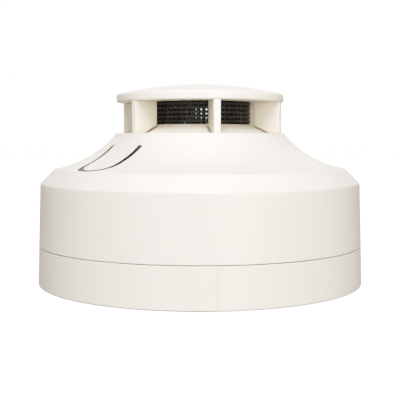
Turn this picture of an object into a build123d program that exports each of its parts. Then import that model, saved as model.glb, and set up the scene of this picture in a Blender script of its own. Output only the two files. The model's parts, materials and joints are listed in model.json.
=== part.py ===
from build123d import *
import math
import os

# Heat detector: a sensing head that plugs into a round mounting base with a quarter turn.
# Frame: +Z up, the ceiling face of the base on Z = 0, the sensing end at the top, millimetres.
# A bearing is an angle about the axis in degrees, counted anticlockwise from +X.

# ---- mounting base ----
BASE_RADIUS = 52.0
SEAM_RADIUS = 51.65
BASE_HEIGHT = 12.2
FLOOR = 2.4
SKIRT_WALL = 2.0
COLLAR_OUTER = 49.2
COLLAR_INNER = 47.4
COLLAR_TOP = 15.0
COLLAR_ROOT = 10.4
CABLE_ENTRY_RADIUS = 12.0
CABLE_LIP_RADIUS = 13.6
CABLE_LIP_TOP = 5.0
FIXING_SPACING = 60.0
FIXING_SLOT_WIDTH = 4.5
FIXING_SLOT_LENGTH = 14.0
MARK_BEARING = -84.8
MARK_WIDTH = 0.45
MARK_DEPTH = 0.1
BASE_EDGE_ROUNDING = 0.3
SEAM_EDGE_ROUNDING = 0.15
RECESS_INNER = 17.0
RECESS_OUTER = 47.0
RECESS_DEPTH = 0.6
PAD_MARGIN = 2.0
STIFFENER_WIDTH = 1.6
STIFFENER_BEARINGS = (22, 158, 202, 338)

# ---- bayonet between base and head ----
BAYONET_BEARINGS = (60, 180, 300)
LEDGE_INNER = 44.0
LEDGE_BOTTOM = 10.0
LEDGE_TOP = 12.0
LEDGE_SWEEP = 16.0
STOP_BOTTOM = 7.0
STOP_SWEEP = 2.0
LUG_INNER = 41.5
LUG_OUTER = 46.9
LUG_SWEEP = 14.0
LUG_BOTTOM = 7.6
LUG_THICKNESS = 2.2
LUG_LEG_OUTER = 43.7

# ---- terminals, laid out along a radius with x outwards ----
TERMINAL_BEARINGS = (45, 135, 225, 315)
BOSS_INNER = 21.5
BOSS_OUTER = 33.0
BOSS_WIDTH = 9.8
BOSS_TOP = 6.0
CHEEK_WIDTH = 0.65
CHEEK_TOP = 8.9
SCREW_AT = 27.0
CLAMP_SIDE = 8.0
CLAMP_THICKNESS = 0.9
CLAMP_OPEN = 7.6
SPRING_THICKNESS = 0.5
SPRING_WIDTH = 5.0
SPRING_INNER = 22.5
SPRING_BEND = 32.0
CREST_START = 36.0
CREST_END = 38.0
CREST_TOP = 9.9
SPRING_TIP = 40.2
SPRING_TIP_DROP = 0.8
TERMINAL_SHANK = 1.75
TERMINAL_SHANK_LENGTH = 5.9
TERMINAL_HEAD_RADIUS = 3.0
TERMINAL_HEAD_HEIGHT = 1.9
TERMINAL_RECESS = (1.95, 0.8, 1.1)
TERMINAL_HOLE_BOTTOM = 1.3
RUNNING_GAP = 0.05
WIRE_GAP = 0.2

# ---- outer cover of the head ----
COVER_BOTTOM = 12.36
COVER_WALL = 2.0
DRUM_TOP_RADIUS = 51.0
DRUM_TOP = 31.8
CHAMFER_TOP_RADIUS = 46.5
FLARE_CENTRE = (51.36, 67.53)
FLARE_RADIUS = 31.56
FLARE_TOP_RADIUS = 28.0
SHOULDER_RADIUS = 27.0
SHOULDER_TOP = 47.6
RAMP_OUTER = 22.6
RAMP_INNER = 16.6
RAMP_TOP = 50.6
RAMP_WALL = 1.7
DRUM_ROUNDING = 1.2
SHOULDER_ROUNDING = 0.5
COVER_SCREW_BEARINGS = (0, 120, 240)
COVER_SCREW_CIRCLE = 43.0
COVER_BOSS_RADIUS = 3.0
COVER_BOSS_TOP = 36.2
COVER_SCREW_RADIUS = 1.35
COVER_SCREW_TIP = 28.0
COVER_SCREW_HEAD_HEIGHT = 1.8
COVER_SCREW_RECESS = (1.8, 0.7, 1.0)

# ---- indicator light guides in the flare ----
GUIDE_BEARINGS = {"a": -138, "b": 42}
GUIDE_ARM_START = 29.5
GUIDE_ARM_END = 38.1
GUIDE_ARM_OFFSET = 6.75
SLOT_WIDTH = 1.7
GUIDE_SIDE_GAP = 0.05
GUIDE_RECESS = 0.1
GUIDE_WEB = 1.2
GUIDE_STEM_AT = 32.5
GUIDE_STEM_RADIUS = 1.7
GUIDE_STEM_BOTTOM = 30.9

# ---- sensing cage on top ----
RIB_COUNT = 6
FIRST_RIB_BEARING = -79.0
RIB_THICKNESS = 2.15
RIB_OUTER = 26.6
RIB_INNER = 18.55
RIB_HEEL = 23.2
RIB_SLIT = 0.4
RIB_EDGE_ROUNDING = 0.3
RIB_GROOVE_MARGIN = 0.6
RIB_GROOVE_DEPTH = 1.0
ROOF_BOTTOM = 57.5
RIM_RADIUS = 26.8
RIM_TOP = 59.9
RIM_TOP_ROUNDING = 0.8
RIM_BOTTOM_ROUNDING = 0.4
DOME_TOP = 63.1
ROOF_RING_OUTER = 15.4
ROOF_RING_INNER = 13.6
ROOF_RING_BOTTOM = 56.6
ROOF_CEILING = 60.6
PEG_CIRCLE = 24.6
PEG_RADIUS = 0.8
PEG_BOTTOM = 45.2

# ---- guard screen inside the cage ----
SCREEN_RADIUS = 16.3
SCREEN_WALL = 0.8
SCREEN_GROOVE = 0.3
SCREEN_TOP = 57.45
SCREEN_FLOOR = 46.6
SCREEN_FLOOR_THICKNESS = 0.8
SCREEN_FLANGE = 18.8
SCREEN_ROWS = 5
SCREEN_COLUMNS = 59
FIRST_COLUMN_BEARING = 2.5
ROW_PITCH = 1.35
TOP_ROW = 56.0
HOLE_WIDTH = 0.6
HOLE_HEIGHT = 0.75

# ---- chassis plate, contacts and circuit board ----
CHASSIS_RADIUS = 49.2
CHASSIS_BOTTOM = 16.0
CHASSIS_TOP = 18.2
PILLAR_INNER = 34.0
PILLAR_OUTER = 40.5
PILLAR_SIDES = (-3.5, 6.8)
BLADE_BOTTOM = 9.95
BLADE_THICKNESS = 0.6
BLADE_INNER = 34.5
BLADE_OUTER = 40.0
PIN_AT = (37.0, 4.8)
PIN_RADIUS = 0.6
PIN_HEAD_RADIUS = 1.2
PIN_HEAD_HEIGHT = 0.5
PIN_ABOVE_BOARD = 1.0
BOARD_RADIUS = 39.0
BOARD_BOTTOM = 24.0
BOARD_THICKNESS = 1.6
BOARD_TOP = BOARD_BOTTOM + BOARD_THICKNESS
BOARD_POST_BEARINGS = (80, 200, 320)
BOARD_POST_CIRCLE = 30.0
BOARD_POST_RADIUS = 2.8
BOARD_SCREW_RADIUS = 1.1
BOARD_SCREW_TIP = 19.6
BOARD_SCREW_HEAD_HEIGHT = 1.5
BOARD_SCREW_RECESS = (1.4, 0.6, 0.8)
SCREW_CLEARANCE = 0.15

# ---- parts on the board ----
SENSOR_BEARING = 150
SENSOR_CIRCLE = 5.0
SENSOR_HEIGHT = 53.2
BEAD_RADIUS = 1.25
LEAD_RADIUS = 0.25
LEAD_OFFSET = 0.75
POST_RADIUS = 3.0
POST_BORE = 2.0
POST_TOP = 49.4
LED_RADIUS = 1.5
LED_FLANGE_RADIUS = 1.9
LED_FLANGE = 1.0
LED_TOP = 30.3
MICROCONTROLLER_AT = (10, -14, 0)
MICROCONTROLLER = {"length": 10.4, "width": 7.5, "height": 2.6, "leg_pitch": 1.27, "legs_per_side": 8}
RECTIFIER_AT = (-16, -10, 0)
RECTIFIER = {"length": 8.0, "width": 6.4, "height": 3.0, "leg_pitch": 5.1, "legs_per_side": 2}
PACKAGE_STAND_OFF = 0.2
PACKAGE_CHAMFER = 0.25
LEG_WIDTH = 0.4
LEG_REACH = 1.0
CAPACITOR_AT = (18, 12, 0)
CAN_RADIUS = 4.0
CAN_HEIGHT = 11.0
CAN_ROUNDING = 0.8
CRIMP_RANGE = (1.6, 2.2)
CRIMP_DEPTH = 0.4
SUPPRESSOR_AT = (-4, -26, 0)
DISC_RADIUS = 5.0
DISC_THICKNESS = 3.6
DISC_ROUNDING = 1.2
DISC_STAND_OFF = 1.5
DISC_LEG_OFFSET = 2.5
DISC_LEG_RADIUS = 0.4
CHIP_BEARINGS = range(100, 180, 10)
CHIP_CIRCLE = 24.0
CHIP_SIZE = (2.0, 1.25, 0.55)


# ---- shape helpers ----
def at(bearing, radius=0.0, side=0.0, height=0.0):
    """A place on the given bearing, with x pointing outwards from the axis."""
    return Rot(0, 0, bearing) * Pos(radius, side, height)


def rod(radius, low, high):
    """A round bar standing on Z between two heights."""
    return Pos(0, 0, (low + high) / 2) * Cylinder(radius, high - low)


def block(x_range, y_range, z_range):
    """A rectangular block between two limits on each axis."""
    size = [high - low for low, high in (x_range, y_range, z_range)]
    centre = [(high + low) / 2 for low, high in (x_range, y_range, z_range)]
    return Pos(*centre) * Box(*size)


def turned(edges, *corners):
    """A solid turned about Z from an outline, rounded at corners given as (radius, height, rounding)."""
    face = make_face(edges)
    for radius, height, rounding in corners:
        corner = face.vertices().sort_by_distance((radius, height))[0]
        face = fillet(corner, rounding)
    return revolve(Plane.XZ * face, Axis.Z)


def sector(inner, outer, middle, sweep, low, high):
    """A curved block between two radii and two heights, centred on a bearing."""
    outline = Pos((inner + outer) / 2, (low + high) / 2) * Rectangle(outer - inner, high - low)
    return Rot(0, 0, middle - sweep / 2) * revolve(Plane.XZ * outline, Axis.Z, sweep)


def upright(points, width):
    """A plate whose outline is drawn in the radial plane as (radius, height) points."""
    outline = Plane.XZ * make_face(Polyline(*points, close=True))
    return extrude(outline, width / 2, both=True)


def screw(radius, head_radius, head_height, seat, tip, recess):
    """A screw whose head stands on a seat, with a cross recess given as (reach, width, depth)."""
    away = 1 if seat > tip else -1
    face = seat + away * head_height
    head = rod(head_radius, *sorted((seat, face)))
    head = chamfer(head.edges().sort_by(Axis.Z)[-1 if away > 0 else 0], head_height / 5)
    reach, width, depth = recess
    bar = block((-reach, reach), (-width / 2, width / 2), sorted((face, face - away * depth)))
    head = head - bar - Rot(0, 0, 90) * bar
    shank = rod(radius, *sorted((seat, tip)))
    return head + chamfer(shank.edges().sort_by(Axis.Z)[0 if away > 0 else -1], radius / 3)


def flare_height(radius, depth=0.0):
    """Height of the hollow flare at a radius, or of a surface that deep under it."""
    across = FLARE_CENTRE[0] - radius
    return FLARE_CENTRE[1] - math.sqrt((FLARE_RADIUS + depth) ** 2 - across**2)


def flare_arc(start, end, depth=0.0):
    """The arc of the flare between two radii, or of a surface that deep under it."""
    middle = (start + end) / 2
    points = [(r, flare_height(r, depth)) for r in (start, middle, end)]
    return ThreePointArc(*points)


def below_flare(depth):
    """Everything under the flare, less a skin of the given depth."""
    low, inner, outer = CHASSIS_TOP, FLARE_TOP_RADIUS, CHAMFER_TOP_RADIUS
    arc = flare_arc(outer, inner, depth)
    rest = Polyline(arc @ 1, (inner, low), (outer, low), arc @ 0)
    return turned([arc, rest])


# ---- mounting base ----
def base_shell():
    """Skirt, floor with the cable opening, and the collar that the head slips over."""
    skirt_inner = BASE_RADIUS - SKIRT_WALL
    outline = Polyline(
        (BASE_RADIUS, 0),
        (SEAM_RADIUS, BASE_HEIGHT),
        (COLLAR_OUTER, BASE_HEIGHT),
        (COLLAR_OUTER, COLLAR_TOP),
        (COLLAR_INNER, COLLAR_TOP),
        (COLLAR_INNER, COLLAR_ROOT),
        (skirt_inner, COLLAR_ROOT),
        (skirt_inner, FLOOR),
        (CABLE_LIP_RADIUS, FLOOR),
        (CABLE_LIP_RADIUS, CABLE_LIP_TOP),
        (CABLE_ENTRY_RADIUS, CABLE_LIP_TOP),
        (CABLE_ENTRY_RADIUS, 0),
        close=True,
    )
    foot = (BASE_RADIUS, 0, BASE_EDGE_ROUNDING)
    return turned(outline, foot, (SEAM_RADIUS, BASE_HEIGHT, SEAM_EDGE_ROUNDING))


def ceiling_recess():
    """The shallow hollow of the ceiling face, less the pads that the fixings draw down on."""
    recess = rod(RECESS_OUTER, 0, RECESS_DEPTH) - rod(RECESS_INNER, 0, RECESS_DEPTH)
    length, width = FIXING_SLOT_LENGTH + 2 * PAD_MARGIN, FIXING_SLOT_WIDTH + 2 * PAD_MARGIN
    pad = extrude(SlotOverall(length, width), RECESS_DEPTH)
    for side in (-1, 1):
        recess -= Pos(side * FIXING_SPACING / 2, 0, 0) * pad
    half = STIFFENER_WIDTH / 2
    for bearing in STIFFENER_BEARINGS:
        spoke = block((CABLE_LIP_RADIUS, BASE_RADIUS), (-half, half), (0, RECESS_DEPTH))
        recess -= at(bearing) * spoke
    return recess


def terminal_boss():
    """The block that carries one terminal, with cheeks that keep its clamp plate square."""
    half = BOSS_WIDTH / 2
    boss = block((BOSS_INNER, BOSS_OUTER), (-half, half), (0, BOSS_TOP))
    reach = CLAMP_SIDE / 2
    for side in (-1, 1):
        limits = sorted((side * half, side * (half - CHEEK_WIDTH)))
        boss += block((SCREW_AT - reach, SCREW_AT + reach), limits, (0, CHEEK_TOP))
    hole = rod(TERMINAL_SHANK + RUNNING_GAP, TERMINAL_HOLE_BOTTOM, BOSS_TOP)
    return boss, Pos(SCREW_AT, 0, 0) * hole


def alignment_mark():
    """The fine groove down the skirt that shows which way round the head goes on."""
    clear = BASE_RADIUS + MARK_WIDTH
    bottom = (BASE_RADIUS - MARK_DEPTH, 0)
    top = (SEAM_RADIUS - MARK_DEPTH, BASE_HEIGHT)
    return upright([bottom, top, (clear, BASE_HEIGHT), (clear, 0)], MARK_WIDTH)


def mounting_base():
    base = base_shell()
    for bearing in TERMINAL_BEARINGS:
        boss, hole = terminal_boss()
        base = base + at(bearing) * boss - at(bearing) * hole
    lip_middle = (CABLE_ENTRY_RADIUS + CABLE_LIP_RADIUS) / 2
    reach = (lip_middle, BASE_RADIUS - SKIRT_WALL / 2)
    half = STIFFENER_WIDTH / 2
    for bearing in STIFFENER_BEARINGS:
        base += at(bearing) * block(reach, (-half, half), (0, CABLE_LIP_TOP))
    base -= ceiling_recess()
    for bearing in BAYONET_BEARINGS:
        root = COLLAR_INNER + RUNNING_GAP
        base += sector(LEDGE_INNER, root, bearing, LEDGE_SWEEP, LEDGE_BOTTOM, LEDGE_TOP)
        stop_at = bearing - (LEDGE_SWEEP + STOP_SWEEP) / 2
        base += sector(LEDGE_INNER, root, stop_at, STOP_SWEEP, STOP_BOTTOM, LEDGE_TOP)
    slot = extrude(SlotOverall(FIXING_SLOT_LENGTH, FIXING_SLOT_WIDTH), FLOOR)
    for side in (-1, 1):
        base -= Pos(side * FIXING_SPACING / 2, 0, 0) * slot
    return base - at(MARK_BEARING) * alignment_mark()


# ---- one terminal ----
def spring_contact():
    """A strip that lies on the boss, then bows up to meet the blade of the head."""
    lift = SPRING_THICKNESS
    crest = CREST_TOP - lift
    path = [
        (SPRING_INNER, BOSS_TOP),
        (SPRING_BEND, BOSS_TOP),
        (CREST_START, crest),
        (CREST_END, crest),
        (SPRING_TIP, crest - SPRING_TIP_DROP),
    ]
    back = [(x, z + lift) for x, z in reversed(path)]
    strip = upright(path + back, SPRING_WIDTH)
    hole = rod(TERMINAL_SHANK + WIRE_GAP, BOSS_TOP, BOSS_TOP + lift)
    return strip - Pos(SCREW_AT, 0, 0) * hole


def clamp_plate():
    """The square plate that presses a wire on the contact."""
    half = CLAMP_SIDE / 2
    z_range = (CLAMP_OPEN, CLAMP_OPEN + CLAMP_THICKNESS)
    plate = block((-half, half), (-half, half), z_range)
    plate = chamfer(plate.edges().filter_by(Axis.Z), CLAMP_THICKNESS)
    return Pos(SCREW_AT, 0, 0) * (plate - rod(TERMINAL_SHANK + RUNNING_GAP, *z_range))


def terminal_screw():
    """A cheese-head screw held by its clamp plate."""
    seat = CLAMP_OPEN + CLAMP_THICKNESS
    tip = seat - TERMINAL_SHANK_LENGTH
    sizes = (TERMINAL_SHANK, TERMINAL_HEAD_RADIUS, TERMINAL_HEAD_HEIGHT)
    return Pos(SCREW_AT, 0, 0) * screw(*sizes, seat, tip, TERMINAL_RECESS)


# ---- outer cover ----
def cover_shell():
    """Drum, chamfer, hollow flare, flat shoulder and the ramp up to the screen."""
    inner_arc_end = FLARE_TOP_RADIUS - COVER_WALL / 2
    outer = flare_arc(CHAMFER_TOP_RADIUS, FLARE_TOP_RADIUS)
    inner = flare_arc(inner_arc_end, CHAMFER_TOP_RADIUS - COVER_WALL / 2, COVER_WALL)
    drum = Polyline((SEAM_RADIUS, COVER_BOTTOM), (DRUM_TOP_RADIUS, DRUM_TOP), outer @ 0)
    crown = Polyline(
        outer @ 1,
        (SHOULDER_RADIUS, SHOULDER_TOP),
        (RAMP_OUTER, SHOULDER_TOP),
        (RAMP_INNER, RAMP_TOP),
        (RAMP_INNER, RAMP_TOP - RAMP_WALL),
        (RAMP_OUTER - RAMP_WALL / 2, SHOULDER_TOP - RAMP_WALL),
        (SHOULDER_RADIUS - RAMP_WALL / 2, SHOULDER_TOP - RAMP_WALL),
        inner @ 0,
    )
    lining = Polyline(
        inner @ 1,
        (DRUM_TOP_RADIUS - COVER_WALL, DRUM_TOP - COVER_WALL / 2),
        (SEAM_RADIUS - COVER_WALL, COVER_BOTTOM),
        (SEAM_RADIUS, COVER_BOTTOM),
    )
    return turned(
        [drum, outer, crown, inner, lining],
        (SEAM_RADIUS, COVER_BOTTOM, SEAM_EDGE_ROUNDING),
        (DRUM_TOP_RADIUS, DRUM_TOP, DRUM_ROUNDING),
        (SHOULDER_RADIUS, SHOULDER_TOP, SHOULDER_ROUNDING),
        (RAMP_INNER, RAMP_TOP, RAMP_WALL / 4),
    )


def horseshoe(width, low, high):
    """An upright U-shaped wall in plan, open towards the axis."""
    limit = GUIDE_ARM_OFFSET + width / 2
    bore = GUIDE_ARM_OFFSET - width / 2
    arms = (GUIDE_ARM_START, GUIDE_ARM_END)
    outside = block(arms, (-limit, limit), (low, high))
    outside += Pos(GUIDE_ARM_END, 0, 0) * rod(limit, low, high)
    inside = block((GUIDE_ARM_START - limit, GUIDE_ARM_END), (-bore, bore), (low, high))
    inside += Pos(GUIDE_ARM_END, 0, 0) * rod(bore, low, high)
    behind = block((0, GUIDE_ARM_START), (-limit, limit), (low, high))
    return outside - inside - behind


def outer_cover():
    cover = cover_shell()
    for bearing in COVER_SCREW_BEARINGS:
        place = at(bearing, COVER_SCREW_CIRCLE)
        cover += place * rod(COVER_BOSS_RADIUS, CHASSIS_TOP, COVER_BOSS_TOP)
        pilot = rod(COVER_SCREW_RADIUS + RUNNING_GAP, CHASSIS_TOP, COVER_SCREW_TIP + COVER_WALL)
        cover -= place * pilot
    for bearing in GUIDE_BEARINGS.values():
        cover -= at(bearing) * horseshoe(SLOT_WIDTH, CHASSIS_TOP, SHOULDER_TOP)
    for bearing in rib_bearings():
        cover -= at(bearing, PEG_CIRCLE) * rod(PEG_RADIUS + RUNNING_GAP, PEG_BOTTOM, SHOULDER_TOP)
        cover -= at(bearing) * ramp_groove()
    return cover


def light_guide():
    """A smoked horseshoe in the slot, on a web under the cover with a stem down to its lamp."""
    low, high = GUIDE_STEM_BOTTOM, SHOULDER_TOP
    wall_width = SLOT_WIDTH - 2 * GUIDE_SIDE_GAP
    web_top = COVER_WALL + GUIDE_SIDE_GAP
    limit = GUIDE_ARM_OFFSET + wall_width / 2
    wall = horseshoe(wall_width, low, high) & below_flare(GUIDE_RECESS)
    plan = block((GUIDE_ARM_START, GUIDE_ARM_END), (-limit, limit), (low, high))
    plan += Pos(GUIDE_ARM_END, 0, 0) * rod(limit, low, high)
    web = plan & (below_flare(web_top) - below_flare(web_top + GUIDE_WEB))
    wall -= below_flare(web_top + GUIDE_WEB)
    stem = Pos(GUIDE_STEM_AT, 0, 0) * rod(GUIDE_STEM_RADIUS, low, high)
    stem = stem & below_flare(web_top)
    return wall + web + stem


# ---- sensing cage ----
def rib_bearings():
    return [FIRST_RIB_BEARING + 360 / RIB_COUNT * i for i in range(RIB_COUNT)]


def ramp_height(radius):
    slope = (RAMP_TOP - SHOULDER_TOP) / (RAMP_OUTER - RAMP_INNER)
    return SHOULDER_TOP + slope * (RAMP_OUTER - radius)


def ramp_groove():
    """A shallow drain groove in the ramp, under the slit of a rib."""
    inner, outer = RIB_INNER - RIB_GROOVE_MARGIN, RAMP_OUTER - RIB_GROOVE_MARGIN
    outline = [
        (inner, ramp_height(inner) - RIB_GROOVE_DEPTH),
        (outer, ramp_height(outer) - RIB_GROOVE_DEPTH),
        (outer, ramp_height(outer) + RIB_GROOVE_DEPTH),
        (inner, ramp_height(inner) + RIB_GROOVE_DEPTH),
    ]
    return upright(outline, RIB_THICKNESS + 2 * RIB_GROOVE_MARGIN)


def cage_rib():
    """A radial plate with a heel on the shoulder and a slit left over the ramp."""
    outline = [
        (RIB_INNER, ROOF_BOTTOM),
        (RIB_OUTER, ROOF_BOTTOM),
        (RIB_OUTER, SHOULDER_TOP),
        (RIB_HEEL, SHOULDER_TOP),
        (RAMP_OUTER, SHOULDER_TOP + RIB_SLIT),
        (RIB_INNER, ramp_height(RIB_INNER) + RIB_SLIT),
    ]
    rib = upright(outline, RIB_THICKNESS)
    rib = fillet(rib.edges().filter_by(Axis.Z).group_by(Axis.X)[-1], RIB_EDGE_ROUNDING)
    return rib + Pos(PEG_CIRCLE, 0, 0) * rod(PEG_RADIUS, PEG_BOTTOM, SHOULDER_TOP)


def roof():
    """The shallow dome, its rim band and the ring that centres the screen."""
    dome = ThreePointArc((-RIM_RADIUS, RIM_TOP), (0, DOME_TOP), (RIM_RADIUS, RIM_TOP)).trim(0.5, 1)
    under = Polyline(
        (RIM_RADIUS, RIM_TOP),
        (RIM_RADIUS, ROOF_BOTTOM),
        (ROOF_RING_OUTER, ROOF_BOTTOM),
        (ROOF_RING_OUTER, ROOF_RING_BOTTOM),
        (ROOF_RING_INNER, ROOF_RING_BOTTOM),
        (ROOF_RING_INNER, ROOF_CEILING),
        (0, ROOF_CEILING),
        (0, DOME_TOP),
    )
    upper_corner = (RIM_RADIUS, RIM_TOP, RIM_TOP_ROUNDING)
    return turned([dome, under], upper_corner, (RIM_RADIUS, ROOF_BOTTOM, RIM_BOTTOM_ROUNDING))


def sensor_cap():
    cap = roof()
    for bearing in rib_bearings():
        cap += at(bearing) * cage_rib()
    return cap


def row_height(row):
    return TOP_ROW - ROW_PITCH * row


def guard_screen():
    """A basket whose wall is ringed by shallow grooves, each pierced by a row of small openings."""
    floor_top = SCREEN_FLOOR + SCREEN_FLOOR_THICKNESS
    basket = rod(SCREEN_RADIUS, SCREEN_FLOOR, SCREEN_TOP) + rod(SCREEN_FLANGE, SCREEN_FLOOR, floor_top)
    basket -= rod(SCREEN_RADIUS - SCREEN_WALL, floor_top, SCREEN_TOP)
    for row in range(SCREEN_ROWS):
        low, high = row_height(row) - HOLE_HEIGHT / 2, row_height(row) + HOLE_HEIGHT / 2
        basket -= rod(SCREEN_FLANGE, low, high) - rod(SCREEN_RADIUS - SCREEN_GROOVE, low, high)
    reach = (SCREEN_RADIUS - 2 * SCREEN_WALL, SCREEN_RADIUS + SCREEN_WALL)
    opening = block(reach, (-HOLE_WIDTH / 2, HOLE_WIDTH / 2), (-HOLE_HEIGHT / 2, HOLE_HEIGHT / 2))
    step = 360 / SCREEN_COLUMNS
    openings = [
        at(FIRST_COLUMN_BEARING + step * column, height=row_height(row)) * opening
        for column in range(SCREEN_COLUMNS)
        for row in range(SCREEN_ROWS)
    ]
    sensor_hole = rod(POST_RADIUS + SCREW_CLEARANCE, SCREEN_FLOOR, floor_top)
    return basket - openings - at(SENSOR_BEARING, SENSOR_CIRCLE) * sensor_hole


# ---- chassis and contacts ----
def bayonet_lug():
    """A leg under the chassis plate with a tab that turns in under a ledge of the base."""
    leg = sector(LUG_INNER, LUG_LEG_OUTER, 0, LUG_SWEEP, LUG_BOTTOM, CHASSIS_BOTTOM + RUNNING_GAP)
    tab = sector(LUG_INNER, LUG_OUTER, 0, LUG_SWEEP, LUG_BOTTOM, LUG_BOTTOM + LUG_THICKNESS)
    return leg + tab


def chassis():
    plate = rod(CHASSIS_RADIUS, CHASSIS_BOTTOM, CHASSIS_TOP)
    for bearing in BAYONET_BEARINGS:
        plate += at(bearing) * bayonet_lug()
    pillar_bottom = BLADE_BOTTOM + BLADE_THICKNESS
    for bearing in TERMINAL_BEARINGS:
        pillar = block((PILLAR_INNER, PILLAR_OUTER), PILLAR_SIDES, (pillar_bottom, CHASSIS_TOP))
        hole = Pos(*PIN_AT, 0) * rod(PIN_RADIUS + RUNNING_GAP, pillar_bottom, CHASSIS_TOP)
        plate = plate + at(bearing) * pillar - at(bearing) * hole
    pilot_bottom = BOARD_SCREW_TIP - BOARD_SCREW_RADIUS
    pilot = rod(BOARD_SCREW_RADIUS + RUNNING_GAP, pilot_bottom, BOARD_BOTTOM)
    for bearing in BOARD_POST_BEARINGS:
        place = at(bearing, BOARD_POST_CIRCLE)
        plate = plate + place * rod(BOARD_POST_RADIUS, CHASSIS_BOTTOM, BOARD_BOTTOM) - place * pilot
    for bearing in COVER_SCREW_BEARINGS:
        hole = rod(COVER_SCREW_RADIUS + SCREW_CLEARANCE, CHASSIS_BOTTOM, CHASSIS_TOP)
        plate -= at(bearing, COVER_SCREW_CIRCLE) * hole
    return plate


def contact_blade():
    """The flat that rides on a spring contact of the base as the head is turned."""
    z_range = (BLADE_BOTTOM, BLADE_BOTTOM + BLADE_THICKNESS)
    blade = block((BLADE_INNER, BLADE_OUTER), PILLAR_SIDES, z_range)
    return blade - Pos(*PIN_AT, 0) * rod(PIN_RADIUS + RUNNING_GAP, *z_range)


def contact_pin():
    """A headed pin that holds a blade on its pillar and carries its current to the board."""
    head = rod(PIN_HEAD_RADIUS, BLADE_BOTTOM - PIN_HEAD_HEIGHT, BLADE_BOTTOM)
    head = chamfer(head.edges().group_by(Axis.Z)[0], PIN_HEAD_HEIGHT / 2)
    shank = rod(PIN_RADIUS, BLADE_BOTTOM, BOARD_TOP + PIN_ABOVE_BOARD)
    return Pos(*PIN_AT, 0) * (head + shank)


def cover_screw():
    """A pan-head screw that goes up through the chassis into a boss of the cover."""
    sizes = (COVER_SCREW_RADIUS, 2 * COVER_SCREW_RADIUS, COVER_SCREW_HEAD_HEIGHT)
    return screw(*sizes, CHASSIS_BOTTOM, COVER_SCREW_TIP, COVER_SCREW_RECESS)


def board_screw():
    """A small screw that holds the board on a post."""
    sizes = (BOARD_SCREW_RADIUS, 2 * BOARD_SCREW_RADIUS, BOARD_SCREW_HEAD_HEIGHT)
    return screw(*sizes, BOARD_TOP, BOARD_SCREW_TIP, BOARD_SCREW_RECESS)


# ---- circuit board and what it carries ----
def circuit_board():
    board = rod(BOARD_RADIUS, BOARD_BOTTOM, BOARD_TOP)
    for bearing in BOARD_POST_BEARINGS:
        hole = rod(BOARD_SCREW_RADIUS + SCREW_CLEARANCE, BOARD_BOTTOM, BOARD_TOP)
        board -= at(bearing, BOARD_POST_CIRCLE) * hole
    for bearing in TERMINAL_BEARINGS:
        hole = Pos(*PIN_AT, 0) * rod(PIN_RADIUS + RUNNING_GAP, BOARD_BOTTOM, BOARD_TOP)
        board -= at(bearing) * hole
    return board


def thermistor_leads():
    lead = rod(LEAD_RADIUS, BOARD_TOP, SENSOR_HEIGHT)
    pair = [Pos(side * LEAD_OFFSET, 0, 0) * lead for side in (-1, 1)]
    return [at(SENSOR_BEARING, SENSOR_CIRCLE) * wire for wire in pair]


def thermistor_bead():
    bead = at(SENSOR_BEARING, SENSOR_CIRCLE, height=SENSOR_HEIGHT) * Sphere(BEAD_RADIUS)
    return bead - thermistor_leads()


def thermistor_post():
    """A tube that holds the leads up in the air stream."""
    post = rod(POST_RADIUS, BOARD_TOP, POST_TOP) - rod(POST_BORE, BOARD_TOP, POST_TOP)
    return at(SENSOR_BEARING, SENSOR_CIRCLE) * post


def indicator_led():
    lens_top = LED_TOP - LED_RADIUS
    lens = rod(LED_RADIUS, BOARD_TOP, lens_top) + Pos(0, 0, lens_top) * Sphere(LED_RADIUS)
    return Pos(GUIDE_STEM_AT, 0, 0) * (lens + rod(LED_FLANGE_RADIUS, BOARD_TOP, BOARD_TOP + LED_FLANGE))


def gull_wing_package(length, width, height, leg_pitch, legs_per_side):
    """A moulded chip body with a row of legs down each long side."""
    z_range = (PACKAGE_STAND_OFF, height)
    body = block((-length / 2, length / 2), (-width / 2, width / 2), z_range)
    body = chamfer(body.edges().group_by(Axis.Z)[-1], PACKAGE_CHAMFER)
    reach = width / 2 + LEG_REACH
    leg = block((-LEG_WIDTH / 2, LEG_WIDTH / 2), (-reach, reach), (0, PACKAGE_STAND_OFF))
    for i in range(legs_per_side):
        body += Pos(leg_pitch * (i - (legs_per_side - 1) / 2), 0, 0) * leg
    return Pos(0, 0, BOARD_TOP) * body


def filter_capacitor():
    """An upright can with a crimp near its foot."""
    can = rod(CAN_RADIUS, 0, CAN_HEIGHT)
    can = fillet(can.edges().sort_by(Axis.Z)[-1], CAN_ROUNDING)
    crimp = rod(CAN_RADIUS + CRIMP_DEPTH, *CRIMP_RANGE) - rod(CAN_RADIUS - CRIMP_DEPTH, *CRIMP_RANGE)
    return Pos(0, 0, BOARD_TOP) * (can - crimp)


def surge_suppressor():
    """A coated disc standing on two short legs."""
    middle = DISC_STAND_OFF + DISC_RADIUS
    disc = Pos(0, 0, middle) * Rot(90, 0, 0) * Cylinder(DISC_RADIUS, DISC_THICKNESS)
    disc = fillet(disc.edges(), DISC_ROUNDING)
    for side in (-1, 1):
        disc += Pos(side * DISC_LEG_OFFSET, 0, 0) * rod(DISC_LEG_RADIUS, 0, 2 * DISC_STAND_OFF)
    return Pos(0, 0, BOARD_TOP) * disc


def chip_resistors():
    length, width, height = CHIP_SIZE
    chip = block((-width / 2, width / 2), (-length / 2, length / 2), (BOARD_TOP, BOARD_TOP + height))
    return [at(bearing, CHIP_CIRCLE) * chip for bearing in CHIP_BEARINGS]


# ---- the assembly ----
def around(bearings, piece, radius=0.0):
    """Copies of one piece set out around the axis."""
    return [at(bearing, radius) * piece for bearing in bearings]


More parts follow.
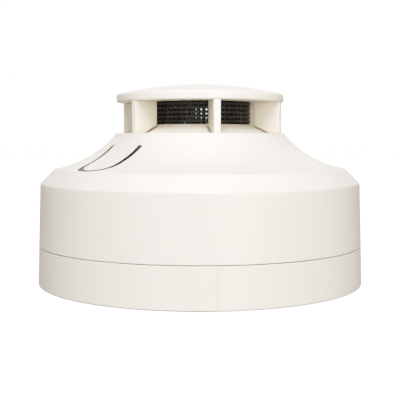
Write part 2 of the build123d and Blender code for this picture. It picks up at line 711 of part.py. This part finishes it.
def assembly():
    nodes = {
        "mounting_base": mounting_base(),
        "outer_cover": outer_cover(),
        "sensor_cap": sensor_cap(),
        "guard_screen": guard_screen(),
        "chassis": chassis(),
        "circuit_board": circuit_board(),
        "thermistor_bead": thermistor_bead(),
        "thermistor_leads": thermistor_leads(),
        "thermistor_post": thermistor_post(),
        "microcontroller": Pos(*MICROCONTROLLER_AT) * gull_wing_package(**MICROCONTROLLER),
        "bridge_rectifier": Pos(*RECTIFIER_AT) * gull_wing_package(**RECTIFIER),
        "filter_capacitor": Pos(*CAPACITOR_AT) * filter_capacitor(),
        "surge_suppressor": Pos(*SUPPRESSOR_AT) * surge_suppressor(),
        "chip_resistors": chip_resistors(),
        "contact_pins": around(TERMINAL_BEARINGS, contact_pin()),
        "cover_screws": around(COVER_SCREW_BEARINGS, cover_screw(), COVER_SCREW_CIRCLE),
        "board_screws": around(BOARD_POST_BEARINGS, board_screw(), BOARD_POST_CIRCLE),
    }
    repeated = {
        "spring_contact": spring_contact(),
        "clamp_plate": clamp_plate(),
        "terminal_screw": terminal_screw(),
        "contact_blade": contact_blade(),
    }
    for name, piece in repeated.items():
        for number, bearing in enumerate(TERMINAL_BEARINGS, start=1):
            nodes[f"{name}_{number}"] = at(bearing) * piece
    for letter, bearing in GUIDE_BEARINGS.items():
        nodes[f"light_guide_{letter}"] = at(bearing) * light_guide()
        nodes[f"indicator_led_{letter}"] = at(bearing) * indicator_led()
    return nodes


def write(nodes):
    os.makedirs("parts", exist_ok=True)
    for name, piece in nodes.items():
        shape = Compound(children=piece) if isinstance(piece, list) else piece
        export_step(shape, f"parts/{name}.step")


write(assembly())
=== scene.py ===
import json
import math

import bmesh
import bpy
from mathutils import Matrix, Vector


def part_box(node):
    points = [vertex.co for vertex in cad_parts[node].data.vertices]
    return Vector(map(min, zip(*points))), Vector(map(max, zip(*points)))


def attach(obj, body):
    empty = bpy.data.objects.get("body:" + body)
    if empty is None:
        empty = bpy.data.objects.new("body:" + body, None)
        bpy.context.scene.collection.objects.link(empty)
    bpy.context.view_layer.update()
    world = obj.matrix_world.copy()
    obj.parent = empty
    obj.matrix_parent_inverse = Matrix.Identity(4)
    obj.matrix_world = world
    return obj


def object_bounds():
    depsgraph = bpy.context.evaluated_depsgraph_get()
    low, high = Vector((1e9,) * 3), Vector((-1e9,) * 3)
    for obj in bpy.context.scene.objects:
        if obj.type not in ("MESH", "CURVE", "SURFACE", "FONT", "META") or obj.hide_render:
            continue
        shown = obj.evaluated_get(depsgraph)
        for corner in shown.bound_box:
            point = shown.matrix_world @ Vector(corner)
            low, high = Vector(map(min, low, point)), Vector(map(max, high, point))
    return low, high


# Looks of a round heat detector: a glossy ivory head with a ribbed cage over a black screen,
# on a shallow mounting base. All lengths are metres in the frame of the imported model.

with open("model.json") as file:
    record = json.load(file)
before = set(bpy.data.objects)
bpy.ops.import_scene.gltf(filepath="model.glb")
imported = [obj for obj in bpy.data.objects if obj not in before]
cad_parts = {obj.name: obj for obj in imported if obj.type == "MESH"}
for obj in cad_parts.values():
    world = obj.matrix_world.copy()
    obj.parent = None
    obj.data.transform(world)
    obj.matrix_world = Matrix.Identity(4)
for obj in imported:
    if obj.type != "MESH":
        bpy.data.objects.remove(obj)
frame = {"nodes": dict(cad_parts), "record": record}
cad_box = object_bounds()

MM = 0.001
NODES = frame["nodes"]

# exposure: the scene brightness that prints as white, and how early bright tones are held back
WHITE_LEVEL = 3.0
SHOULDER = 0.6

# a low index keeps the sunk guide dark at grazing angles
SMOKED_IOR = 1.08

# the white background takes no part in the lighting, the room does
WHITE = (1.0, 1.0, 1.0, 1.0)
ROOM_STRENGTH = 0.9

FLOOR_RADIUS = 3.0
FLOOR_DROP = 0.02 * MM
FLOOR_LAP = 0.3 * MM
FLOOR_SIDES = 96

CAMERA_PLACE = (0.0, -266.8 * MM, 45.99 * MM)
CAMERA_TILT = 0.075
CAMERA_LENS = 73.85
CAMERA_SENSOR = 36.0

# sockets of a colour mix node, and the curve of a curve mapping that acts on all channels
MIX_FIRST, MIX_SECOND, MIX_RESULT = 6, 7, 2
ALL_CHANNELS = 3


# ---- material recipes ----
class Recipe:
    """One node material, built around a Principled shader."""

    def __init__(self, name):
        self.material = bpy.data.materials.new(name)
        self.material.use_nodes = True
        self.tree = self.material.node_tree
        self.tree.nodes.clear()
        output = self.add("ShaderNodeOutputMaterial")
        self.shader = self.add("ShaderNodeBsdfPrincipled")
        self.surface = output.inputs["Surface"]
        self.join(self.shader.outputs[0], self.surface)
        self.place = self.add("ShaderNodeTexCoord").outputs["Object"]

    def add(self, kind, **settings):
        node = self.tree.nodes.new(kind)
        for key, value in settings.items():
            setattr(node, key, value)
        return node

    def join(self, source, target):
        self.tree.links.new(source, target)

    def feed(self, socket, value):
        if isinstance(value, bpy.types.NodeSocket):
            self.join(value, socket)
        else:
            socket.default_value = value

    def set(self, **values):
        """Sets inputs of the Principled shader, with _ for the spaces in their names."""
        for key, value in values.items():
            self.feed(self.shader.inputs[key.replace("_", " ")], value)

    def stretched(self, scales):
        mapping = self.add("ShaderNodeMapping")
        self.join(self.place, mapping.inputs["Vector"])
        mapping.inputs["Scale"].default_value = scales
        return mapping.outputs["Vector"]

    def noise(self, size, detail=3.0, roughness=0.5, scales=None):
        """Smooth noise whose features are about size metres across."""
        node = self.add("ShaderNodeTexNoise")
        self.join(self.stretched(scales) if scales else self.place, node.inputs["Vector"])
        node.inputs["Scale"].default_value = 1.0 / size
        node.inputs["Detail"].default_value = detail
        node.inputs["Roughness"].default_value = roughness
        return node.outputs["Fac"]

    def cells(self, size, feature="F1"):
        node = self.add("ShaderNodeTexVoronoi", feature=feature)
        self.join(self.place, node.inputs["Vector"])
        node.inputs["Scale"].default_value = 1.0 / size
        return node.outputs["Distance"]

    def remap(self, value, low, high, into=(0.0, 1.0)):
        node = self.add("ShaderNodeMapRange", clamp=True)
        self.join(value, node.inputs["Value"])
        for key, number in zip(("From Min", "From Max", "To Min", "To Max"), (low, high, *into)):
            node.inputs[key].default_value = number
        return node.outputs["Result"]

    def math(self, operation, first, second):
        node = self.add("ShaderNodeMath", operation=operation)
        self.feed(node.inputs[0], first)
        self.feed(node.inputs[1], second)
        return node.outputs[0]

    def blend(self, amount, first, second):
        """A colour between two others."""
        node = self.add("ShaderNodeMix", data_type="RGBA")
        self.feed(node.inputs["Factor"], amount)
        self.feed(node.inputs[MIX_FIRST], first)
        self.feed(node.inputs[MIX_SECOND], second)
        return node.outputs[MIX_RESULT]

    def crevices(self, reach, open_sky=0.75, closed_sky=0.2):
        """Nearly 1 in corners and gaps narrower than reach, and 0 in the open."""
        node = self.add("ShaderNodeAmbientOcclusion", samples=6, only_local=False)
        node.inputs["Distance"].default_value = reach
        return self.remap(node.outputs["AO"], open_sky, closed_sky)

    def rounded(self, radius):
        """Normals that turn softly over an edge, as a mould leaves it."""
        node = self.add("ShaderNodeBevel", samples=4)
        node.inputs["Radius"].default_value = radius
        return node.outputs["Normal"]

    def bump(self, height, depth, normal=None):
        node = self.add("ShaderNodeBump")
        node.inputs["Distance"].default_value = depth
        self.join(height, node.inputs["Height"])
        if normal:
            self.join(normal, node.inputs["Normal"])
        return node.outputs["Normal"]


def rgb(red, green, blue):
    return (red, green, blue, 1.0)


def scaled(colour, share):
    return rgb(*[channel * share for channel in colour])


def ivory_plastic(name, colour, shade, gloss, warm_shade_amount):
    """Glossy moulded ABS: faint flow marks, orange peel and handling smudges, painted shade and rougher
    dust in the corners, a painted warm shade in wide hollows and a painted dark shadow in narrow gaps.
    """
    r = Recipe(name)
    flow = r.noise(34 * MM, 4.0, 0.6, (1.0, 1.0, 0.35))
    tint = r.blend(r.remap(flow, 0.3, 0.7), rgb(*colour), scaled(colour, 0.988))
    specks = r.remap(r.noise(0.55 * MM, 2.0), 0.72, 0.8, (0.0, 0.05))
    tint = r.blend(specks, tint, rgb(*shade))
    # painted shade: corners and seams darkened towards the shade colour; the same mask also makes them
    # rougher, like dust
    corner_shade_and_dust = r.math("MULTIPLY", r.crevices(1.6 * MM), 0.45)
    tint = r.blend(corner_shade_and_dust, tint, rgb(*shade))
    # painted shade: wide hollows tinted warm yellow-brown, standing in for light bounced between the ivory
    # walls
    painted_warm_shade = r.math("MULTIPLY", r.crevices(9 * MM, 0.80, 0.35), warm_shade_amount)
    tint = r.blend(painted_warm_shade, tint, rgb(0.74, 0.64, 0.34))
    # painted shadow: narrow gaps and slits darkened to near-black brown
    painted_gap_shadow = r.math("MULTIPLY", r.crevices(1.4 * MM, 0.46, 0.18), 0.92)
    r.set(Base_Color=r.blend(painted_gap_shadow, tint, rgb(0.10, 0.07, 0.035)))
    smudge = r.remap(r.noise(26 * MM, 2.0, 0.4), 0.2, 0.8, (gloss, gloss + 0.03))
    rough = r.math("ADD", smudge, r.math("MULTIPLY", corner_shade_and_dust, 0.5))
    r.set(Roughness=rough, IOR=1.52, Subsurface_Weight=0.10, Subsurface_Scale=1.4 * MM)
    r.set(Subsurface_Radius=(1.0, 0.8, 0.55))
    peel = r.bump(r.noise(1.5 * MM, 2.0), 0.012 * MM, r.rounded(0.22 * MM))
    scuff = r.noise(0.16 * MM, 2.0, 0.6, (1.0, 1.0, 4.0))
    r.set(Normal=r.bump(scuff, 0.0016 * MM, peel))
    return r.material


def matt_plastic(name, colour, rough, grain, shine=0.5):
    """Plain moulded plastic with a fine spark-eroded grain; painted shade darkens its colour and weakens
    its highlight where it is recessed.
    """
    r = Recipe(name)
    mottle = r.remap(r.noise(6 * MM, 4.0), 0.3, 0.7)
    lighter = [min(1.0, c * 1.3 + 0.004) for c in colour]
    tint = r.blend(mottle, rgb(*colour), rgb(*lighter))
    # painted shade: recesses darkened in colour and given a weaker highlight
    recess_shade = r.crevices(1.0 * MM, 0.93, 0.60)
    r.set(Base_Color=r.blend(r.math("MULTIPLY", recess_shade, 0.5), tint, scaled(colour, 0.6)))
    r.set(Specular_IOR_Level=r.remap(recess_shade, 0.1, 0.8, (shine, 0.1 * shine)))
    r.set(Roughness=r.remap(r.noise(2.5 * MM), 0.3, 0.7, (rough - 0.06, rough + 0.08)))
    r.set(Normal=r.bump(r.noise(grain, 2.0, 0.7), 0.01 * MM, r.rounded(0.12 * MM)))
    return r.material


def smoked_plastic(name):
    """Dark smoked acrylic with painted light flecks standing in for glints, moulding ripples and a little
    haze.
    """
    r = Recipe(name)
    # painted highlights: light flecks in the dark tint stand in for glints on the guide
    painted_glints = r.remap(r.noise(1.0 * MM, 3.0), 0.54, 0.66)
    tint = r.blend(painted_glints, rgb(0.05, 0.04, 0.035), rgb(0.75, 0.66, 0.62))
    haze = r.remap(r.noise(1.4 * MM, 4.0), 0.35, 0.75, (0.06, 0.22))
    r.set(Base_Color=tint, Roughness=haze, IOR=SMOKED_IOR, Transmission_Weight=0.85)
    r.set(Normal=r.bump(r.noise(1.6 * MM, 3.0), 0.08 * MM, r.rounded(0.12 * MM)))
    return r.material


def plated_metal(name, colour, rough, brushing):
    """Plated sheet or wire with fine drawing marks and dull patches."""
    r = Recipe(name)
    patches = r.remap(r.noise(3 * MM, 4.0), 0.35, 0.7)
    r.set(Base_Color=r.blend(patches, rgb(*colour), scaled(colour, 0.82)), Metallic=1.0)
    lines = r.noise(0.25 * MM, 3.0, 0.7, brushing)
    r.set(Roughness=r.remap(lines, 0.25, 0.75, (rough - 0.08, rough + 0.12)))
    r.set(Normal=r.bump(lines, 0.006 * MM, r.rounded(0.08 * MM)))
    return r.material


def solder_mask(name):
    """Green lacquer over copper tracks on a glass-fibre board."""
    r = Recipe(name)
    weave = r.noise(0.7 * MM, 2.0, 0.5, (1.0, 1.0, 0.2))
    lacquer = r.blend(weave, rgb(0.010, 0.085, 0.032), rgb(0.014, 0.12, 0.045))
    tracks = r.remap(r.cells(5.5 * MM, "DISTANCE_TO_EDGE"), 0.075, 0.095, (1.0, 0.0))
    r.set(Base_Color=r.blend(tracks, lacquer, rgb(0.035, 0.22, 0.085)))
    r.set(Roughness=r.remap(r.noise(4 * MM), 0.3, 0.7, (0.24, 0.38)), Coat_Weight=0.3)
    r.set(Normal=r.bump(tracks, 0.03 * MM, r.rounded(0.1 * MM)))
    return r.material


def dipped_resin(name, colour):
    """A dipped coating: thick gloss with sags."""
    r = Recipe(name)
    sags = r.noise(2.4 * MM, 3.0)
    r.set(Base_Color=r.blend(sags, rgb(*colour), scaled(colour, 0.6)))
    r.set(Roughness=r.remap(r.noise(0.8 * MM), 0.3, 0.7, (0.16, 0.30)), Coat_Weight=0.5)
    r.set(Normal=r.bump(sags, 0.12 * MM))
    return r.material


def lamp_resin(name):
    """Red diffused resin of an unlit lamp."""
    r = Recipe(name)
    cloud = r.noise(0.6 * MM, 3.0)
    r.set(Base_Color=r.blend(cloud, rgb(0.42, 0.012, 0.010), rgb(0.60, 0.03, 0.02)))
    r.set(Roughness=r.remap(cloud, 0.3, 0.7, (0.10, 0.24)), Subsurface_Weight=0.5)
    r.set(Subsurface_Scale=0.8 * MM, Normal=r.bump(cloud, 0.02 * MM))
    return r.material


def chip_resin(name, colour):
    """Moulded epoxy with a satin, faintly pitted face."""
    r = Recipe(name)
    pits = r.noise(0.22 * MM, 2.0, 0.6)
    r.set(Base_Color=r.blend(r.noise(2 * MM), rgb(*colour), scaled(colour, 1.7)))
    r.set(Roughness=r.remap(pits, 0.3, 0.7, (0.42, 0.62)))
    r.set(Normal=r.bump(pits, 0.012 * MM, r.rounded(0.06 * MM)))
    return r.material


def make_materials():
    upright, sideways = (1.0, 1.0, 0.06), (0.06, 1.0, 1.0)
    return {
        "base_shell": ivory_plastic("ivory_base", (0.855, 0.822, 0.765), (0.56, 0.50, 0.42), 0.34, 0.0),
        "head_shell": ivory_plastic("ivory_head", (0.870, 0.837, 0.783), (0.56, 0.50, 0.42), 0.27, 0.5),
        "cap_shell": ivory_plastic("ivory_cap", (0.930, 0.898, 0.832), (0.56, 0.47, 0.32), 0.28, 0.6),
        "screen_plastic": matt_plastic("black_screen", (0.008, 0.0075, 0.0075), 0.40, 0.18 * MM, 0.42),
        "chassis_plastic": matt_plastic("chassis_white", (0.62, 0.60, 0.55), 0.5, 0.3 * MM),
        "post_plastic": matt_plastic("black_post", (0.014, 0.014, 0.015), 0.5, 0.3 * MM),
        "board": solder_mask("solder_mask"),
        "smoked_plastic": smoked_plastic("smoked_acrylic"),
        "led_resin": lamp_resin("red_lamp_resin"),
        "bead_resin": dipped_resin("bead_coating", (0.020, 0.030, 0.060)),
        "disc_coating": dipped_resin("disc_coating", (0.030, 0.120, 0.420)),
        "tinned_wire": plated_metal("tinned_wire", (0.72, 0.72, 0.70), 0.30, upright),
        "contact_metal": plated_metal("tin_plated_brass", (0.80, 0.74, 0.60), 0.28, sideways),
        "zinc_steel": plated_metal("zinc_plated_steel", (0.66, 0.68, 0.70), 0.32, sideways),
        "can_sleeve": plated_metal("sleeved_can", (0.10, 0.11, 0.14), 0.36, upright),
        "chip_resin": chip_resin("chip_epoxy", (0.012, 0.012, 0.013)),
        "resistor_body": chip_resin("chip_ceramic", (0.020, 0.020, 0.022)),
    }


def paint_frame(materials):
    """Gives every CAD node the material of its slot in the record."""
    for entry in frame["record"]["subparts"]:
        for slot in NODES[entry["node"]].material_slots:
            slot.material = materials[entry["material_slot"]]


# ---- pieces made here ----
def add_object(name, data):
    thing = bpy.data.objects.new(name, data)
    bpy.context.scene.collection.objects.link(thing)
    return thing


def mesh_from(bm, name):
    mesh = bpy.data.meshes.new(name)
    bm.to_mesh(mesh)
    bm.free()
    return mesh


def ring_points(bm, centre, radius, count):
    return [
        bm.verts.new(centre + Vector((radius * math.cos(a), radius * math.sin(a), 0.0)))
        for a in (2 * math.pi * i / count for i in range(count))
    ]


def turned_piece(name, centres, profile, count=24):
    """Small turned solids, one at each centre, from one profile of (radius, height) pairs."""
    bm = bmesh.new()
    for centre in centres:
        rings = [ring_points(bm, centre + Vector((0, 0, z)), radius, count) for radius, z in profile]
        for low, high in zip(rings, rings[1:]):
            for i in range(count):
                j = (i + 1) % count
                bm.faces.new((low[i], low[j], high[j], high[i]))
        bm.faces.new(list(reversed(rings[0])))
        bm.faces.new(rings[-1])
    mesh = mesh_from(bm, name)
    mesh.shade_smooth()
    return add_object(name, mesh)


def islands_of(node):
    """The lowest and highest corner of each separate solid of a CAD node."""
    bm = bmesh.new()
    bm.from_mesh(NODES[node].data)
    bmesh.ops.remove_doubles(bm, verts=bm.verts, dist=0.001 * MM)
    seen, boxes = set(), []
    for start in bm.verts:
        if start in seen:
            continue
        stack, members = [start], []
        seen.add(start)
        while stack:
            vertex = stack.pop()
            members.append(vertex.co.copy())
            for edge in vertex.link_edges:
                other = edge.other_vert(vertex)
                if other not in seen:
                    seen.add(other)
                    stack.append(other)
        low = Vector([min(p[i] for p in members) for i in range(3)])
        high = Vector([max(p[i] for p in members) for i in range(3)])
        boxes.append((low, high))
    bm.free()
    return boxes


def solder_joints(material):
    """A solder fillet round each contact pin on the board."""
    board_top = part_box("circuit_board")[1].z
    pin_radius = 0.6 * MM
    pin_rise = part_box("contact_pins")[1].z - board_top
    centres = []
    for low, high in islands_of("contact_pins"):
        middle = (low + high) / 2
        centres.append(Vector((middle.x, middle.y, board_top)))
    steps = 8
    profile = [(2.2 * pin_radius, 0.0)]
    for i in range(1, steps + 1):
        share = i / steps
        swell = 1 - math.sin(share * math.pi / 2)
        profile.append((pin_radius * (1.05 + 1.15 * swell), pin_rise * 0.85 * share))
    piece = turned_piece("solder_joints", centres, profile)
    piece.data.materials.append(material)
    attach(piece, "head")


# ---- stage, light and camera ----
def emission_floor():
    """A pale floor that stays near white, and can't be seen from below."""
    r = Recipe("pale_floor")
    r.set(Base_Color=rgb(0.30, 0.30, 0.30), Roughness=0.75)
    rays = r.add("ShaderNodeLightPath")
    glow = r.add("ShaderNodeEmission")
    glow.inputs["Color"].default_value = WHITE
    r.join(r.math("MULTIPLY", rays.outputs["Is Camera Ray"], 0.95 * WHITE_LEVEL), glow.inputs["Strength"])
    lit = r.add("ShaderNodeAddShader")
    r.join(r.shader.outputs[0], lit.inputs[0])
    r.join(glow.outputs[0], lit.inputs[1])
    clear = r.add("ShaderNodeBsdfTransparent")
    choice = r.add("ShaderNodeMixShader")
    side = r.add("ShaderNodeNewGeometry")
    r.join(side.outputs["Backfacing"], choice.inputs[0])
    r.join(lit.outputs[0], choice.inputs[1])
    r.join(clear.outputs[0], choice.inputs[2])
    r.join(choice.outputs[0], r.surface)
    return r.material


def make_floor():
    """A round floor with a hole just inside the object's footprint, so that light reaches its underside."""
    bm = bmesh.new()
    middle = Vector((0.0, 0.0, -FLOOR_DROP))
    near = ring_points(bm, middle, cad_box[1].x - FLOOR_LAP, FLOOR_SIDES)
    far = ring_points(bm, middle, FLOOR_RADIUS, FLOOR_SIDES)
    for i in range(FLOOR_SIDES):
        j = (i + 1) % FLOOR_SIDES
        bm.faces.new((near[i], far[i], far[j], near[j]))
    floor = add_object("floor", mesh_from(bm, "floor"))
    floor.data.materials.append(emission_floor())


def soft_box(name, place, target, size, power, colour, glints=True):
    light = bpy.data.lights.new(name, "AREA")
    light.shape, light.size, light.size_y = "RECTANGLE", size[0], size[1]
    light.energy, light.color = power, colour
    lamp = add_object(name, light)
    lamp.location = place
    lamp.rotation_euler = (Vector(target) - Vector(place)).to_track_quat("-Z", "Y").to_euler()
    lamp.visible_glossy = glints


def make_world():
    """White to the camera; to the object, a warm room that darkens overhead, and grey underfoot."""
    world = bpy.data.worlds.new("studio")
    world.use_nodes = True
    bpy.context.scene.world = world
    tree = world.node_tree
    tree.nodes.clear()
    add, join = tree.nodes.new, tree.links.new
    place, split = add("ShaderNodeTexCoord"), add("ShaderNodeSeparateXYZ")
    below, walls = add("ShaderNodeMath"), add("ShaderNodeMix")
    ramp, rays = add("ShaderNodeValToRGB"), add("ShaderNodeLightPath")
    room, white = add("ShaderNodeBackground"), add("ShaderNodeBackground")
    choice, output = add("ShaderNodeMixShader"), add("ShaderNodeOutputWorld")
    join(place.outputs["Generated"], split.inputs[0])
    join(split.outputs["Z"], ramp.inputs[0])
    ramp.color_ramp.elements[0].position = 0.0
    ramp.color_ramp.elements[0].color = rgb(1.0, 0.86, 0.50)
    ramp.color_ramp.elements[1].position = 0.9
    ramp.color_ramp.elements[1].color = rgb(0.0, 0.0, 0.0)
    below.operation, below.inputs[1].default_value = "LESS_THAN", 0.0
    join(split.outputs["Z"], below.inputs[0])
    walls.data_type, walls.inputs[MIX_SECOND].default_value = "RGBA", rgb(0.80, 0.78, 0.74)
    join(below.outputs[0], walls.inputs[0])
    join(ramp.outputs["Color"], walls.inputs[MIX_FIRST])
    join(walls.outputs[MIX_RESULT], room.inputs["Color"])
    room.inputs["Strength"].default_value = ROOM_STRENGTH
    white.inputs["Color"].default_value = WHITE
    white.inputs["Strength"].default_value = WHITE_LEVEL
    join(rays.outputs["Is Camera Ray"], choice.inputs[0])
    join(room.outputs[0], choice.inputs[1])
    join(white.outputs[0], choice.inputs[2])
    join(choice.outputs[0], output.inputs["Surface"])


def make_lights():
    middle = (0.0, 0.0, 30 * MM)
    soft_box("key", (0.0, -0.75, 0.85), middle, (0.8, 0.6), 24.0, (1.0, 0.975, 1.0))
    soft_box("fill_right", (0.45, -1.05, 0.15), middle, (0.6, 0.5), 9.4, (1.0, 0.93, 0.84))
    soft_box("fill_left", (-0.45, -1.05, 0.15), middle, (0.6, 0.5), 2.8, (0.97, 0.99, 1.04))
    soft_box("overhead", (0.0, -0.1, 0.95), middle, (1.1, 0.7), 7.6, (0.90, 0.94, 1.03))
    soft_box("behind", (0.0, 0.95, 0.45), middle, (1.2, 0.6), 3.3, (1.0, 0.98, 0.97))
    soft_box("back_fill", (0.0, 1.0, 0.3), middle, (1.2, 0.6), 6.5, (1.0, 0.98, 0.97), glints=False)


def soften_highlights():
    """Exposes like a bright product picture: a long shoulder that reaches white at WHITE_LEVEL."""
    view = bpy.context.scene.view_settings
    view.view_transform = "Standard"
    view.use_curve_mapping = True
    mapping = view.curve_mapping
    mapping.white_level = (WHITE_LEVEL, WHITE_LEVEL, WHITE_LEVEL)
    curve = mapping.curves[ALL_CHANNELS]
    steps = 6
    for i in range(1, steps):
        share = i / steps
        bend = 1 - math.exp(-SHOULDER * WHITE_LEVEL * share)
        curve.points.new(share, bend / (1 - math.exp(-SHOULDER * WHITE_LEVEL)))
    mapping.update()


def make_camera():
    data = bpy.data.cameras.new("camera")
    data.sensor_width, data.lens = CAMERA_SENSOR, CAMERA_LENS
    data.clip_start, data.clip_end = 0.01, 20.0
    camera = add_object("camera", data)
    camera.location = CAMERA_PLACE
    camera.rotation_euler = (math.pi / 2 - CAMERA_TILT, 0.0, 0.0)
    bpy.context.scene.camera = camera


materials = make_materials()
paint_frame(materials)
solder_joints(materials["tinned_wire"])
make_floor()
make_world()
make_lights()
make_camera()
soften_highlights()
